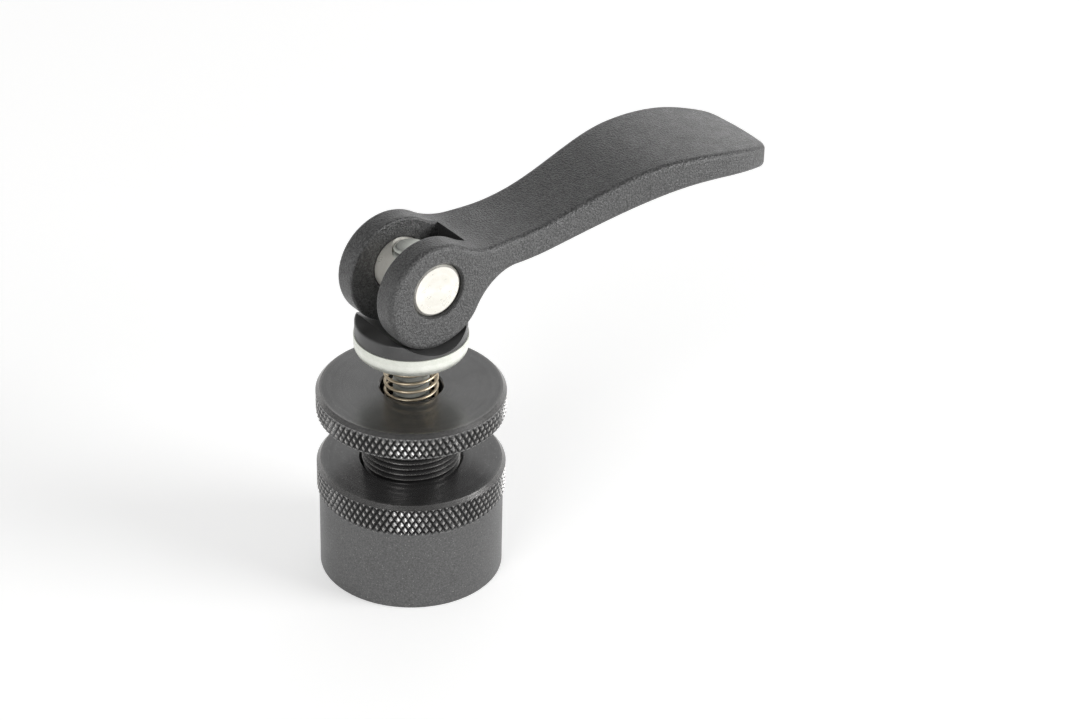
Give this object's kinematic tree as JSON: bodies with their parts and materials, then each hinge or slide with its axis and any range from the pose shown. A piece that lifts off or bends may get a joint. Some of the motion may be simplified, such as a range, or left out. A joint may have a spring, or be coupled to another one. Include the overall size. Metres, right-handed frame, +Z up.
{
  "type": "cam lever",
  "caption": "Eccentric clamping lever on a threaded stud with thrust pad, pressure cup and return spring, over a knurled adjusting nut that screws into a round base.",
  "frame": {"origin": "middle of the base's flat underside, on the stud's axis", "axes": "+Z up along the stud, +X along the closed lever from the pin to the tip, Y along the barrel pin"},
  "size_m": [0.0823, 0.0308, 0.0638],
  "materials": {
    "powder_coat": "fine textured matt powder coat",
    "blackened_steel": "black-finished turned steel, satin",
    "zinc_plate": "bright zinc plate",
    "turned_steel": "bright turned face",
    "stud_steel": "rolled thread, grey zinc",
    "spring_wire": "straw-coloured spring wire",
    "black_plastic": "smooth moulded, satin"
  },
  "bodies": {
    "base": {"base_body": "blackened_steel", "stud": "stud_steel"},
    "spring": {"compression_spring": "spring_wire"},
    "nut": {"adjusting_nut": "blackened_steel"},
    "head": {"barrel_pin": "turned_steel"},
    "thrust": {"thrust_pad": "black_plastic", "pressure_cup": "zinc_plate"},
    "lever": {"cam_lever": "powder_coat"}
  },
  "joints": [
    {"name": "nut_travel", "type": "slide", "parent": "base", "child": "spring", "axis": [0, 0, 1], "range_m": [-0.0085, 0.003], "deforming": ["compression_spring"]},
    {"name": "nut_turn", "type": "hinge", "parent": "spring", "child": "nut", "pos_m": [0, 0, 0.02], "axis": [0, 0, 1], "range_deg": [-3060, 1080]},
    {"name": "head_turn", "type": "hinge", "parent": "base", "child": "head", "pos_m": [0, 0, 0.05414], "axis": [0, 0, 1], "range_deg": [-180, 180]},
    {"name": "lever_tilt", "type": "hinge", "parent": "head", "child": "lever", "pos_m": [0, 0, 0.05414], "axis": [0, -1, 0], "range_deg": [0, 120]},
    {"name": "thrust_slide", "type": "slide", "parent": "head", "child": "thrust", "axis": [0, 0, 1], "range_m": [0, 0.0004]}
  ],
  "couplings": [
    {"joint": "nut_travel", "follows": "nut_turn", "m_per_rad": 0.00015915},
    {"joint": "thrust_slide", "follows": "lever_tilt", "m_per_rad": 0.00019099}
  ]
}
